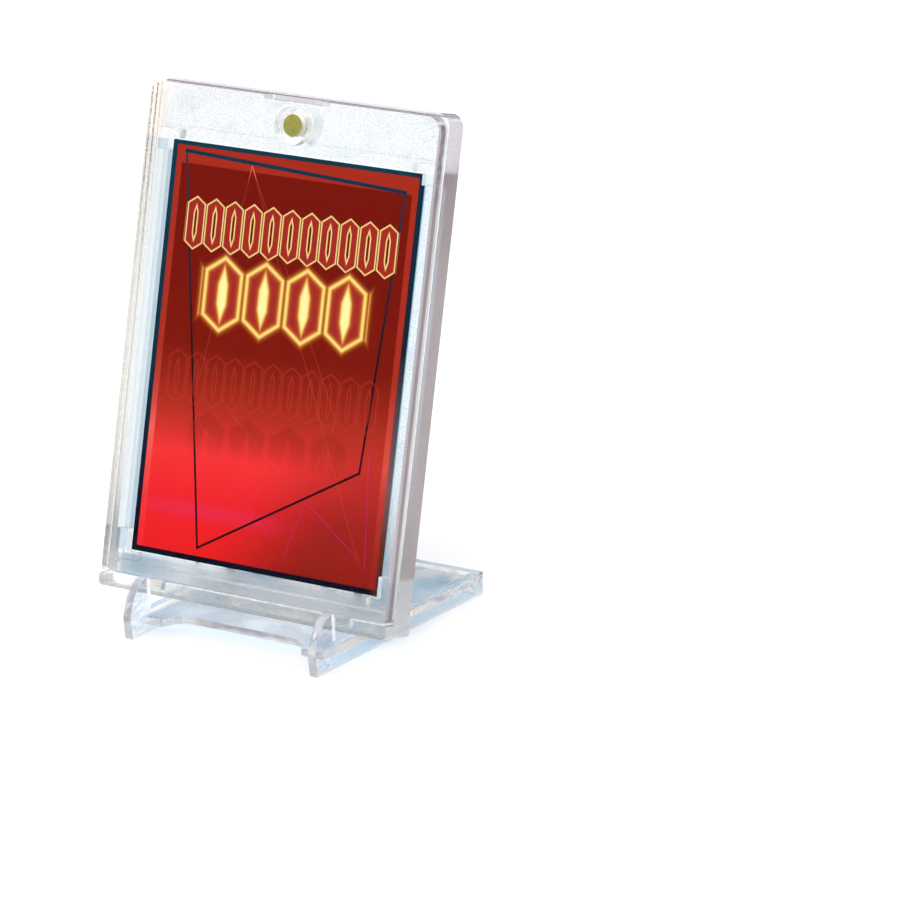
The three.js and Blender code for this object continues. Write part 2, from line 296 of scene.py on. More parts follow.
def stand_roughness(tree, off_flat):
    """Polished, but satin on rounded edges and on the deck's front edge."""
    polish = tree.math("MULTIPLY_ADD", tree.noise(tree.at, 0.4, 3.0), 0.04, 0.005)
    not_sideways = tree.fade(tree.sideways, 0.6, 0.4)
    below_deck = tree.fade(tree.z, DECK_TOP + 0.2, DECK_TOP)
    rim = tree.times(not_sideways, off_flat, below_deck, 0.6)
    satin_edge = tree.math("MAXIMUM", tree.fade(tree.squareness(), 0.9, 0.8), rim)
    return tree.math("MULTIPLY_ADD", satin_edge, 0.35, polish)


def stand_plastic(name, upright):
    """upright is for the panel, whose big faces look front and back instead of up and down."""
    tree = Plastic(name)
    cloud = tree.noise(tree.at, 0.09, 2.0)
    speck = tree.noise(tree.at, 1.6, 2.0, 0.6)
    flat = tree.forward if upright else tree.upward
    off_flat = tree.fade(flat, 0.9, 0.5)
    tint = (0.88, 0.92, 0.94, 1) if upright else deck_shade_tint(tree)
    tint = tree.mix(tree.times(tree.fade(cloud, 0.4, 0.65), 0.6), tint, (0.96, 0.975, 0.985, 1))
    # painted reflections on the cut faces, then painted shade lines along rounded edges, on the base only
    # below the rails' tops
    tint = tree.mix(off_flat, tint, cut_face_reflections(tree))
    edge_shaded = tree.shaded_edge_lines(tint, flat, SOFT_EDGE_SHADE)
    if upright:
        tint = edge_shaded
    else:
        tint = tree.mix(tree.fade(tree.z, RAIL_TOP + 0.04, RAIL_TOP), tint, edge_shaded)
        # painted shade and glints on the sides of the hooks and rails
        tint = rail_side_shade_and_glints(tree, tint)
    height = tree.math("ADD", tree.times(cloud, 0.04), tree.times(speck, 0.012))
    shadow = (0.88, 0.92, 0.95, 1)
    return tree.finish(tint, shadow, stand_roughness(tree, off_flat), height)


# ---- the holder's plastic -------------------------------------------------------

HOLDER_HALF = 36.35         # the holder across, up and deep, in millimetres
HOLDER_TOP = 110.0
HOLDER_DEPTH = 9.5
COVER_DEPTH = 3.65          # where the two shells meet
COVER_TOP = 109.25          # the cover stops short of the back shell's top edge
LEDGE_TOP = 3.15            # where the cover's lower edge and the ledge meet
WELL_HALF = 34.8
WELL_HIGH = 99.95
NOTCH_FLOOR = 108.4
NOTCH_HALF = 7.3
MAGNET_UP = 103.5
CARRIER_RADIUS = 4.2
LEFT_STRIP = 3.3            # width of the strip down the left side that catches cream light
LOW_END = 12.0              # top of the frosted zone at the holder's foot

# Painted dark lines down the left wall: distance from the side, width, tint, strength.
WALL_SHADE_LINES = (
    (0.60, 0.44, (0.10, 0.05, 0.02, 1), 1.0),
    (1.75, 0.46, (0.06, 0.03, 0.01, 1), 1.0),
    (2.85, 0.26, (0.26, 0.14, 0.07, 1), 0.9),
)


class HolderPlastic(Plastic):
    """The holder's plastic, with masks that are 1 on a region of its faces and 0 elsewhere."""

    def __init__(self, name, clear_side):
        super().__init__(name, HOLDER)
        half, low, high = CARD_W / MM / 2, CARD_RISE / MM, (CARD_RISE + CARD_H) / MM
        from_satin = self.outside(half + clear_side, low, high)
        self.from_card = self.outside(half, low, high)
        self.border = self.fade(self.outside(WELL_HALF, low, high), -0.1, 0.1)
        self.front = self.fade(self.forward, 0.9, 0.98)
        self.side = self.fade(self.sideways, 0.6, 0.8)
        self.covered = self.times(self.fade(from_satin, 0.5, 0.7), self.front)
        self.grain = self.noise(self.at, 2.6, 3.0, 0.8)

    def outside(self, half, low, high):
        """Signed distance from a rectangle on the holder, below zero inside it."""
        across = self.math("SUBTRACT", self.math("ABSOLUTE", self.x), half)
        from_middle = self.math("ABSOLUTE", self.math("SUBTRACT", self.z, (low + high) / 2))
        return self.math("MAXIMUM", across, self.math("SUBTRACT", from_middle, (high - low) / 2))

    def rim_strip(self):
        """1 on the back shell's strip above the cover and in the notch, seen from the front."""
        above_cover = self.fade(self.z, COVER_TOP - 0.05, COVER_TOP)
        in_notch = self.fade(self.math("ABSOLUTE", self.x), NOTCH_HALF + 0.05, NOTCH_HALF)
        notch = self.times(self.fade(self.z, NOTCH_FLOOR - 0.05, NOTCH_FLOOR), in_notch)
        not_back = self.fade(self.y, HOLDER_DEPTH - 1, HOLDER_DEPTH - 2)
        return self.times(self.math("MAXIMUM", above_cover, notch), not_back, self.front)

    def carrier_hole(self):
        """1 on the walls of the holes that the magnets' plugs sit in."""
        across, up = self.x, self.math("SUBTRACT", self.z, MAGNET_UP)
        away = self.math("SQRT", self.math("ADD", self.times(across, across), self.times(up, up)))
        near = self.fade(away, CARRIER_RADIUS + 0.3, CARRIER_RADIUS + 0.1)
        return self.times(near, self.fade(self.forward, 0.8, 0.6))


def border_shade_and_glints(tree):
    """Painted shade, blue-grey, low on the left and nearly clear elsewhere, with a patchwork of painted
    cream glints along the ledge.
    """
    foot = tree.mix(tree.fade(tree.x, -32, -8), (0.58, 0.66, 0.72, 1), (1.0, 0.99, 0.985, 1))
    tint = tree.mix(tree.fade(tree.z, 6, 60), foot, (0.97, 0.985, 0.99, 1))
    tint = tree.mix(tree.fade(tree.z, 90, 104), tint, NO_TINT)
    patches = tree.fade(tree.stretched(0.16, 0.3, 0.3), 0.45, 0.50)
    ledge_glints = tree.mix(patches, (0.90, 0.94, 0.97, 1), (1.0, 0.97, 0.91, 1))
    return tree.mix(tree.fade(tree.z, LEDGE_TOP + 0.4, LEDGE_TOP), tint, ledge_glints)


def well_and_border(tree, well, left_gap):
    """Painted shade in the well, with a painted reflection and shade of its own in the gap left of the card,
    the border's tint, and a clear line between as a painted highlight.
    """
    inside = tree.mix(tree.fade(tree.x, -31.0, -33.0), well, left_gap)
    tint = tree.mix(tree.border, inside, border_shade_and_glints(tree))
    # painted highlight: a clear line just outside the card's edge
    line = tree.times(tree.fade(tree.from_card, 0.55, 0.35), tree.fade(tree.from_card, -0.3, 0.0))
    return tree.mix(line, tint, NO_TINT)


def satin(tree, tint):
    """The satin's speckles and clouds, on the outer faces and right of the cream strip."""
    cloud = tree.noise(tree.at, 0.11, 3.0, 0.55)
    speckle = tree.mix(tree.fade(tree.grain, 0.54, 0.38), NO_TINT, (0.58, 0.64, 0.68, 1))
    patch = tree.mix(tree.fade(cloud, 0.48, 0.34), NO_TINT, (0.82, 0.87, 0.90, 1))
    both = tree.mix(1.0, speckle, patch, blend="MULTIPLY")
    cover_face = tree.fade(tree.y, 1.0, 0.5)
    rear_face = tree.fade(tree.y, HOLDER_DEPTH - 1, HOLDER_DEPTH - 0.5)
    beyond_strip = tree.fade(tree.x, LEFT_STRIP - 0.3 - HOLDER_HALF, LEFT_STRIP + 0.3 - HOLDER_HALF)
    speckled = tree.times(tree.covered, tree.math("MAXIMUM", cover_face, rear_face), beyond_strip)
    return tree.mix(speckled, tint, tree.mix(1.0, tint, both, blend="MULTIPLY"))


def left_wall_light_and_shade(tree, tint):
    """Painted cream light caught in the left wall, with thin broken lines of painted shade down the cover's
    front face.
    """
    from_edge = tree.math("ADD", tree.x, HOLDER_HALF)
    cover_face = tree.times(tree.front, tree.fade(tree.y, 1.0, 0.5))
    where = tree.math("MAXIMUM", tree.border, cover_face)
    cream = tree.times(tree.fade(from_edge, LEFT_STRIP + 0.4, LEFT_STRIP - 0.2), where, 0.9)
    tint = tree.mix(cream, tint, (1.0, 0.97, 0.925, 1))
    broken = tree.fade(tree.stretched(2.6, 1.0, 2.8), 0.42, 0.52)
    stronger_up = tree.math("MULTIPLY_ADD", tree.fade(tree.z, 55, 95), 0.6, 0.4)
    for distance, width, colour, strength in WALL_SHADE_LINES:
        line = tree.math("ABSOLUTE", tree.math("SUBTRACT", from_edge, distance))
        line = tree.fade(line, width / 2 + 0.06, width / 2 - 0.06)
        tint = tree.mix(tree.times(line, cover_face, broken, strength, stronger_up), tint, colour)
    return tint


def well_wall_shade_and_left_glint(tree, tint):
    """Painted shade, blue-grey, on the well's walls and painted cream light on the outer left side."""
    in_well = tree.times(tree.side, tree.fade(tree.z, WELL_HIGH + 0.7, WELL_HIGH + 0.5))
    tint = tree.mix(in_well, tint, (0.78, 0.86, 0.90, 1))
    left_glint = tree.fade(tree.x, 0.5 - HOLDER_HALF, 0.2 - HOLDER_HALF)
    return tree.mix(left_glint, tint, (1.0, 0.96, 0.90, 1))


def top_edge_shade(tree, tint):
    """Painted shade: a dark line and mauve on the strip above the cover, and dark lines between mauve bands
    on top.
    """
    strip = tree.ramp(tree.math("SUBTRACT", tree.z, COVER_TOP), [
        (0.02, (0.46, 0.40, 0.45, 1)), (0.06, (0.06, 0.045, 0.06, 1)),
        (0.26, (0.10, 0.08, 0.10, 1)), (0.34, (0.60, 0.53, 0.58, 1)),
    ])
    tint = tree.mix(tree.rim_strip(), tint, strip)
    bands = tree.ramp(tree.math("DIVIDE", tree.y, HOLDER_DEPTH), [
        (0.05, (0.10, 0.08, 0.10, 1)), (0.09, (0.50, 0.46, 0.50, 1)), (0.33, (0.55, 0.50, 0.54, 1)),
        (0.36, (0.08, 0.07, 0.08, 1)), (0.42, (0.10, 0.08, 0.10, 1)), (0.46, (0.40, 0.36, 0.40, 1)),
        (0.90, (0.34, 0.30, 0.34, 1)), (0.95, (0.06, 0.05, 0.06, 1)),
    ])
    high = tree.fade(tree.z, NOTCH_FLOOR - 0.4, NOTCH_FLOOR - 0.2)
    return tree.mix(tree.times(tree.fade(tree.upward, 0.6, 0.8), high), tint, bands)


def shell_side_reflection(tree):
    """Painted reflection and shade: mauve beside the well, darkest at its upper end, and paler at both ends,
    with a fine grain.
    """
    tint = tree.ramp(tree.math("DIVIDE", tree.z, HOLDER_TOP), [
        (0.026, (1.00, 1.00, 0.98, 1)), (0.030, (1.00, 0.93, 0.97, 1)), (0.109, (1.00, 0.93, 0.97, 1)),
        (0.115, (0.42, 0.31, 0.31, 1)), (0.30, (0.46, 0.35, 0.36, 1)),
        (0.65, (0.50, 0.38, 0.40, 1)), (0.80, (0.32, 0.22, 0.23, 1)), (0.886, (0.27, 0.18, 0.19, 1)),
        (0.892, (0.84, 0.73, 0.80, 1)),
    ])
    grain = tree.fade(tree.noise(tree.at, 2.2, 2.0, 0.8), 0.6, 0.4)
    return tree.mix(tree.times(grain, 0.35), tint, (0.20, 0.14, 0.15, 1))


def cover_side_reflection(tree):
    """Painted reflection and shade: bands of lavender, from the front face back, with painted dark glints
    near the top.
    """
    bands = tree.ramp(tree.math("DIVIDE", tree.y, COVER_DEPTH), [
        (0.00, (0.42, 0.35, 0.40, 1)), (0.22, (0.50, 0.43, 0.48, 1)), (0.34, (0.14, 0.10, 0.13, 1)),
        (0.62, (0.18, 0.14, 0.17, 1)), (0.74, (0.96, 0.95, 0.97, 1)), (1.00, (0.98, 0.98, 1.00, 1)),
    ])
    glints = tree.times(tree.fade(tree.z, 88, 96), tree.fade(tree.stretched(0.5, 0.9, 0.5), 0.40, 0.55))
    middle = tree.times(tree.fade(tree.y, 0.8, 1.0), tree.fade(tree.y, 2.9, 2.6))
    return tree.mix(tree.times(glints, middle, 0.85), bands, (0.05, 0.03, 0.045, 1))


def holder_height(tree):
    """Slow waves all over, grain in the satin and faint scratches on the sides."""
    flow = tree.noise(tree.at, 0.06, 2.0, 0.4)
    scratches = tree.stretched(0.3, 0.3, 5.0)
    height = tree.math("ADD", tree.times(flow, 0.02), tree.times(tree.grain, 0.014, tree.covered))
    return tree.math("ADD", height, tree.times(scratches, 0.004, tree.side))


def holder_roughness(tree):
    """Polished, but frosted in the satin, in the middle of rounded edges and on hidden walls."""
    roughness = tree.math("MULTIPLY_ADD", tree.noise(tree.at, 0.35, 3.0, 0.6), 0.03, 0.005)
    roughness = tree.math("MULTIPLY_ADD", tree.covered, 0.22, roughness)
    low_end = tree.fade(tree.z, LOW_END + 0.2, LOW_END - 0.2)
    low_end = tree.times(tree.fade(tree.forward, 0.9, 0.7), low_end)
    roughness = tree.math("MULTIPLY_ADD", low_end, 0.25, roughness)
    rounding = tree.times(tree.fade(tree.forward, 0.42, 0.55), tree.fade(tree.forward, 0.92, 0.82))
    walls = tree.times(tree.side, tree.fade(tree.x, -HOLDER_HALF, 1 - HOLDER_HALF))
    roughness = tree.math("MULTIPLY_ADD", tree.math("MAXIMUM", rounding, walls), 0.3, roughness)
    return tree.math("MULTIPLY_ADD", tree.carrier_hole(), 0.7, roughness)


def holder_plastic(name, shadow, well, left_gap, clear_side, right_side_reflection):
    """Satin all round the card, from clear_side further out beside it.

    well and left_gap paint shade and a reflection on what is seen round the card. right_side_reflection
    gives the right side face's painted reflection and shade.
    """
    tree = HolderPlastic(name, clear_side)
    tint = well_and_border(tree, well, left_gap)
    tint = left_wall_light_and_shade(tree, satin(tree, tint))
    tint = top_edge_shade(tree, well_wall_shade_and_left_glint(tree, tint))
    # painted reflection and shade on the right side face, then painted shade lines along rounded edges
    on_right = tree.times(tree.side, tree.fade(tree.x, HOLDER_HALF - 0.5, HOLDER_HALF - 0.3))
    tint = tree.shaded_edge_lines(tree.mix(on_right, tint, right_side_reflection(tree)), tree.forward)
    return tree.finish(tint, shadow, holder_roughness(tree), holder_height(tree))


def carrier_plastic():
    """The clean plugs that hold the magnets, with rough walls that soften the ring round them."""
    tree = Plastic("carrier_plastic", HOLDER)
    smear = tree.noise(tree.at, 0.8, 3.0)
    tint = tree.mix(smear, (0.97, 0.98, 0.99, 1), NO_TINT)
    wall = tree.fade(tree.forward, 0.9, 0.7)
    roughness = tree.math("MULTIPLY_ADD", wall, 0.7, tree.times(smear, 0.03))
    return tree.finish(tint, (0.97, 0.98, 0.98, 1), roughness, tree.times(smear, 0.002))


# ---- gold -----------------------------------------------------------------------


def gold():
    """Satin gold plate, a little uneven in colour and polish."""
    tree = Tree("gold_plate")
    at = tree.place()
    colour = tree.ramp(tree.noise(at, 0.8, 3), [(0.3, (0.40, 0.37, 0.085, 1)), (0.7, (0.50, 0.47, 0.12, 1))])
    roughness = tree.math("MULTIPLY_ADD", tree.noise(at, 4.0, 3), 0.2, 0.38)
    body = tree.add("ShaderNodeBsdfPrincipled", Base_Color=colour, Roughness=roughness)
    body.inputs["Metallic"].default_value = 1.0
    return tree.output(body.outputs[0])


# ---- printed card ---------------------------------------------------------------

CARD_THICK = 0.7            # this and all that follows on the card is in millimetres
NAVY = 1.25                 # width of the navy border
PANEL_SIDE = 2.7            # inner panel's distance from the card's side edges
PANEL_TOP = 4.7             # and from its top edge


def srgb(red, green, blue):
    """An ink by its screen values, 0 to 255, as the linear colour that shaders use."""
    def linear(level):
        level = level / 255
        return level / 12.92 if level <= 0.04045 else ((level + 0.055) / 1.055) ** 2.4
    return (linear(red), linear(green), linear(blue), 1.0)


class Print(Tree):
    """A drawing on the card: u runs right from its left edge and v down from its top edge.

    down is v as a share of the card's height.
    """

    def __init__(self, name):
        super().__init__(name)
        x, self.depth, z = self.split(self.place(HOLDER))[:3]
        self.u = self.math("ADD", x, CARD_W / MM / 2)
        self.v = self.math("SUBTRACT", (CARD_RISE + CARD_H) / MM, z)
        self.down = self.math("DIVIDE", self.v, CARD_H / MM)
        self.point = self.add("ShaderNodeCombineXYZ", X=self.u, Y=self.v).outputs[0]

    def inside(self, distance, soft=0.08):
        """1 where a signed distance is below zero, with a soft edge."""
        return self.fade(distance, soft, -soft)

    def stroke(self, distance, width, soft=0.08):
        """1 on the line where a signed distance is zero."""
        return self.inside(self.math("SUBTRACT", self.math("ABSOLUTE", distance), width / 2), soft)

    def segment(self, start, end):
        """Distance from a straight line between two points."""
        start, end = Vector((*start, 0)), Vector((*end, 0))
        run = end - start
        away = self.vector("SUBTRACT", self.point, start)
        along = self.vector("DOT_PRODUCT", away, run / run.length_squared, output="Value")
        foot = self.vector("SCALE", run, self.math("ADD", along, 0.0, clamp=True))
        return self.vector("LENGTH", self.vector("SUBTRACT", away, foot), output="Value")

    def frame(self, side, top, bottom):
        """Signed distance from a rectangle inset from the card's edges, below zero inside it."""
        middle = CARD_W / MM / 2
        from_middle = self.math("ABSOLUTE", self.math("SUBTRACT", self.u, middle))
        across = self.math("SUBTRACT", from_middle, middle - side)
        above = self.math("SUBTRACT", top, self.v)
        below = self.math("SUBTRACT", self.v, CARD_H / MM - bottom)
        return self.math("MAXIMUM", across, self.math("MAXIMUM", above, below))

    def lozenge(self, across, down, wide, tall, point):
        """Signed distance from an upright bar with pointed ends."""
        across, down = self.math("ABSOLUTE", across), self.math("ABSOLUTE", down)
        sides = self.math("SUBTRACT", across, wide / 2)
        slope = math.hypot(point, wide / 2)
        ends = self.math("MULTIPLY_ADD", down, wide / 2 / slope, -tall / 2 * wide / 2 / slope)
        ends = self.math("MULTIPLY_ADD", across, point / slope, ends)
        return self.math("MAXIMUM", sides, ends)


def card_ground(art):
    """The panel's red, dark at the top and glowing low on the left, inside a lighter band."""
    dark, deep, rust = srgb(114, 13, 0), srgb(121, 17, 0), srgb(144, 31, 13)
    left = art.ramp(art.down, [
        (0.00, dark), (0.26, dark), (0.48, deep), (0.56, rust), (0.63, srgb(172, 42, 27)),
        (0.69, srgb(206, 45, 39)), (0.74, srgb(239, 49, 51)), (0.85, srgb(236, 32, 40)),
        (1.00, srgb(234, 26, 28)),
    ])
    right = art.ramp(art.down, [
        (0.00, srgb(101, 9, 0)), (0.26, dark), (0.48, deep), (0.56, rust), (0.63, srgb(172, 43, 29)),
        (0.70, srgb(188, 45, 36)), (0.76, srgb(181, 39, 34)), (0.85, srgb(157, 31, 24)),
        (1.00, srgb(141, 25, 13)),
    ])
    tilt = art.math("MULTIPLY_ADD", art.v, 0.62, art.u)
    rightwards = art.fade(tilt, 68, 100)
    panel = art.mix(rightwards, left, right)
    band_left = art.ramp(art.down, [
        (0.00, srgb(160, 40, 22)), (0.50, srgb(164, 42, 26)), (0.58, srgb(184, 57, 43)),
        (0.64, srgb(207, 70, 62)), (0.70, srgb(234, 94, 85)), (0.78, srgb(236, 74, 69)),
        (0.86, srgb(236, 52, 55)), (1.00, srgb(238, 32, 36)),
    ])
    band_right = art.ramp(art.down, [
        (0.00, srgb(160, 40, 22)), (0.50, srgb(166, 44, 30)), (0.64, srgb(203, 68, 55)),
        (0.70, srgb(211, 76, 65)), (0.78, srgb(182, 54, 44)), (0.92, srgb(153, 34, 26)),
        (1.00, srgb(146, 31, 22)),
    ])
    band = art.mix(rightwards, band_left, band_right)
    return art.mix(art.inside(art.frame(PANEL_SIDE, PANEL_TOP, 0.0), 0.15), band, panel)


def card_lines(art, ink):
    """Thin ruled lines, as on a map, over the panel, brightest where three of them meet."""
    apex = (20.6, 3.4)
    pale = [
        (apex, (12.8, 50.0)), (apex, (48.1, 53.8)), (apex, (57.5, 83.0)),
        ((12.8, 58.4), (17.5, 62.5)), ((21.9, 56.3), (35.6, 66.9)), ((48.1, 54.1), (44.4, 65.0)),
    ]
    violet = [
        ((25.3, 71.6), (35.6, 81.9)), ((40.6, 70.3), (56.3, 81.3)),
        ((42.8, 71.9), (38.8, 84.4)), ((57.2, 60.0), (59.1, 83.8)),
    ]
    near_apex = art.fade(art.segment(apex, (20.6, 4.4)), 3.0, 0.4)
    glint = art.math("MULTIPLY_ADD", near_apex, 0.65, 0.22)
    for lines, colour, strength, width in (
        (pale, srgb(255, 130, 95), glint, 0.1), (violet, srgb(214, 24, 120), 0.6, 0.16),
    ):
        nearest = None
        for start, end in lines:
            away = art.segment(start, end)
            nearest = away if nearest is None else art.math("MINIMUM", nearest, away)
        ink = art.mix(art.times(art.stroke(nearest, width), strength), ink, colour)
    return ink


def card_outline(art, ink):
    """A leaning four-sided outline, navy at the top and nearly black at the bottom."""
    colour = art.ramp(art.down, [(0.05, srgb(2, 46, 66)), (0.5, srgb(10, 6, 12))])
    corners = [(3.6, 2.1), (59.2, 4.4), (55.3, 64.0), (16.8, 85.9)]
    for index, corner in enumerate(corners):
        width = 0.8 if index == 0 else 0.5
        edge = art.segment(corner, corners[(index + 1) % 4])
        ink = art.mix(art.stroke(edge, width), ink, colour)
    return ink


class Row:
    """A row of upright bars with pointed ends and pointed slots, in place of a line of lettering."""

    BAR_POINT = 0.34        # height of the pointed ends, as a share of the width
    SLOT_POINT = 1.6

    def __init__(self, art, span, rise, style):
        left, right = span
        top, bottom = rise
        count, gap, slot_wide, slot_tall = style
        pitch = (right - left) / count
        middle = art.math("SUBTRACT", art.v, (top + bottom) / 2)
        from_left = art.math("SUBTRACT", art.u, left)
        across = art.math("SUBTRACT", art.math("FLOORED_MODULO", from_left, pitch), pitch / 2)
        wide, tall = pitch - gap, bottom - top
        bar = art.lozenge(across, middle, wide, tall, wide * self.BAR_POINT)
        from_centre = art.math("ABSOLUTE", art.math("SUBTRACT", art.u, (left + right) / 2))
        ends = art.math("SUBTRACT", from_centre, (right - left) / 2)
        self.bar = art.math("MAXIMUM", bar, ends)
        slot = art.lozenge(across, middle, slot_wide, slot_tall, slot_wide * self.SLOT_POINT)
        self.slot = art.math("MAXIMUM", slot, ends)
        self.edge = art.math("MINIMUM", art.math("ABSOLUTE", self.bar), art.math("ABSOLUTE", self.slot))
        self.solid = art.math("MAXIMUM", self.bar, art.math("MULTIPLY", self.slot, -1))


# Bars in a row, the gap between them, and the width and height of their slots.
SMALL_BARS = (11, 0.55, 0.9, 7.4)
LARGE_BARS = (4, 1.5, 1.7, 9.6)


def card_rows(art, ink):
    """Two rows of bars, the small one outlined and the large one glowing, and their faint repeats."""
    brick, cream = srgb(158, 38, 32), srgb(238, 208, 132)
    small = Row(art, (5.2, 58.7), (11.5, 22.7), SMALL_BARS)
    ink = art.mix(art.inside(small.solid), ink, brick)
    ink = art.mix(art.stroke(small.edge, 0.3), ink, cream)

    large = Row(art, (11.2, 52.9), (23.6, 39.1), LARGE_BARS)
    ink = art.mix(art.inside(large.solid), ink, brick)
    ink = art.overlay(ink, art.math("DIVIDE", large.edge, 1.6), [
        (0.00, (*srgb(252, 226, 140)[:3], 1.0)), (0.16, (*srgb(246, 200, 96)[:3], 0.9)),
        (0.45, (*srgb(206, 110, 40)[:3], 0.4)), (1.00, (*srgb(150, 50, 16)[:3], 0.0)),
    ])
    ink = art.mix(art.inside(large.slot, 0.2), ink, srgb(253, 236, 160))

    faint = Row(art, (4.6, 58.0), (44.4, 55.6), SMALL_BARS)
    ink = art.mix(art.math("MULTIPLY", art.stroke(faint.edge, 0.3, 0.12), 0.35), ink, srgb(196, 60, 44))
    low = Row(art, (10.8, 52.4), (56.6, 72.0), LARGE_BARS)
    fading = art.math("MULTIPLY", art.fade(art.v, 68.0, 57.0), 0.5)
    return art.mix(art.math("MULTIPLY", art.inside(low.solid, 0.25), fading), ink, srgb(150, 34, 26))


def card_sheen(art, ink):
    """A faint rose band low on the left."""
    band = art.times(art.fade(art.v, 75.6, 77.4), art.fade(art.v, 80.6, 78.8))
    along = art.times(art.fade(art.u, 1, 5), art.fade(art.u, 44, 26))
    return art.mix(art.times(band, along, 0.4), ink, srgb(222, 46, 84))


def card_front(art):
    """The front's drawing inside a navy border that turns brown low on the right."""
    ink = card_sheen(art, card_ground(art))
    ink = card_rows(art, card_outline(art, card_lines(art, ink)))
    left = art.ramp(art.down, [(0.0, srgb(0, 52, 70)), (0.45, srgb(0, 44, 60)), (0.9, srgb(0, 8, 30))])
    right = art.ramp(art.down, [
        (0.00, srgb(2, 40, 62)), (0.42, srgb(14, 28, 44)), (0.62, srgb(90, 70, 76)),
        (0.75, srgb(120, 84, 86)), (0.88, srgb(92, 44, 32)), (1.00, srgb(70, 38, 28)),
    ])
    navy = art.mix(art.fade(art.u, CARD_W / MM - 3, CARD_W / MM - 1), left, right)
    return art.mix(art.inside(art.frame(NAVY, NAVY * 0.75, NAVY), 0.06), navy, ink)


def card_back(art):
    """A plain trellis in two reds with a navy border."""
    half_pitch = 2.2
    lean_right = art.math("PINGPONG", art.math("ADD", art.u, art.v), half_pitch)
    lean_left = art.math("PINGPONG", art.math("SUBTRACT", art.u, art.v), half_pitch)
    trellis = art.inside(art.math("SUBTRACT", art.math("MINIMUM", lean_right, lean_left), 0.35))
    ink = art.mix(trellis, srgb(122, 26, 16), srgb(196, 96, 74))
    rim = art.stroke(art.frame(4.0, 4.0, 4.0), 0.5)
    ink = art.mix(rim, ink, srgb(236, 214, 170))
    return art.mix(art.inside(art.frame(3.0, 3.0, 3.0)), srgb(8, 30, 52), ink)


def card_print():
    """Ink on both faces of the card and pale teal board on its edges."""
    art = Print("card_print")
    front_face = CARD_FRONT / MM
    back_face = front_face + CARD_THICK
    board = srgb(150, 205, 220)
    ink = art.mix(art.fade(art.depth, front_face + 0.10, front_face + 0.14), card_front(art), board)
    ink = art.mix(art.fade(art.depth, back_face - 0.14, back_face - 0.10), ink, card_back(art))
    dots = art.noise(art.point, 6.0, 1.0)
    mottle = art.noise(art.point, 0.9, 3.0)
    grain = art.math("ADD", art.math("MULTIPLY", dots, 0.10), art.math("MULTIPLY", mottle, 0.05))
    ink = art.vector("SCALE", ink, art.math("ADD", grain, 0.925))
    roughness = art.math("MULTIPLY_ADD", mottle, 0.1, 0.32)
    body = art.add("ShaderNodeBsdfPrincipled", Base_Color=ink, Roughness=roughness)
    body.inputs["Specular IOR Level"].default_value = 0.05
    bump = art.add("ShaderNodeBump", Strength=0.2, Distance=0.02 * MM, Height=dots)
    art.links.new(bump.outputs[0], body.inputs["Normal"])
    return art.output(body.outputs[0])


# ---- geometry -------------------------------------------------------------------


def smooth_group():
    """A node group that shades every face smooth."""
    group = bpy.data.node_groups.new("shade_smooth", "GeometryNodeTree")
    group.interface.new_socket("Geometry", in_out="INPUT", socket_type="NodeSocketGeometry")
    group.interface.new_socket("Geometry", in_out="OUTPUT", socket_type="NodeSocketGeometry")
    start = group.nodes.new("NodeGroupInput")
    smooth = group.nodes.new("GeometryNodeSetShadeSmooth")
    end = group.nodes.new("NodeGroupOutput")
    group.links.new(start.outputs[0], smooth.inputs["Geometry"])
    group.links.new(smooth.outputs[0], end.inputs[0])
    return group


SMOOTH = smooth_group()


WELD_DISTANCE = 0.005       # millimetres
MERGE_ANGLE = 2             # degrees: faces flatter than this to each other are merged
EDGE_ANGLE = 35             # and edges sharper than this are rounded


def dress(name, material, bevel):
    """Gives a CAD node its material, merges its flat faces and rounds its edges by bevel millimetres."""
    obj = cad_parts[name]
    obj.data.materials.clear()
    obj.data.materials.append(material)
    weld = obj.modifiers.new("weld", "WELD")
    weld.merge_threshold = WELD_DISTANCE * MM
    merge = obj.modifiers.new("merge", "DECIMATE")
    merge.decimate_type = "DISSOLVE"
    merge.angle_limit = math.radians(MERGE_ANGLE)
    edge = obj.modifiers.new("edge", "BEVEL")
    edge.width = bevel * MM
    edge.segments = 3
    edge.limit_method = "ANGLE"
    edge.angle_limit = math.radians(EDGE_ANGLE)
    edge.use_clamp_overlap = True
    smooth = obj.modifiers.new("smooth", "NODES")
    smooth.node_group = SMOOTH
    even = obj.modifiers.new("even", "WEIGHTED_NORMAL")
    even.mode = "FACE_AREA"
    even.weight = 100
    even.keep_sharp = False


base_clear = stand_plastic("base_plastic", upright=False)
panel_clear = stand_plastic("panel_plastic", upright=True)
carrier_clear = carrier_plastic()
# The well, left gap and right side tints are painted shade and painted reflections.
shell_clear = holder_plastic(
    "holder_plastic", shadow=(0.90, 0.93, 0.95, 1), clear_side=0.0, right_side_reflection=shell_side_reflection,
    well=(0.80, 0.89, 0.94, 1), left_gap=(0.42, 0.53, 0.61, 1),
)
cover_clear = holder_plastic(
    "cover_plastic", shadow=(0.97, 0.98, 0.98, 1), clear_side=2.3, right_side_reflection=cover_side_reflection,
    well=(0.97, 0.98, 0.98, 1), left_gap=(0.85, 0.91, 0.95, 1),
)
plate = gold()

dress("stand_base", base_clear, 0.3)
dress("back_panel", panel_clear, 0.3)
dress("back_shell", shell_clear, 0.35)
dress("front_cover", cover_clear, 0.35)
dress("front_magnet_carrier", carrier_clear, 0.1)
dress("back_magnet_carrier", carrier_clear, 0.1)
dress("front_magnet", plate, 0.15)
dress("back_magnet", plate, 0.15)
dress("card", card_print(), 0.05)

# ---- camera, floor and lights ---------------------------------------------------

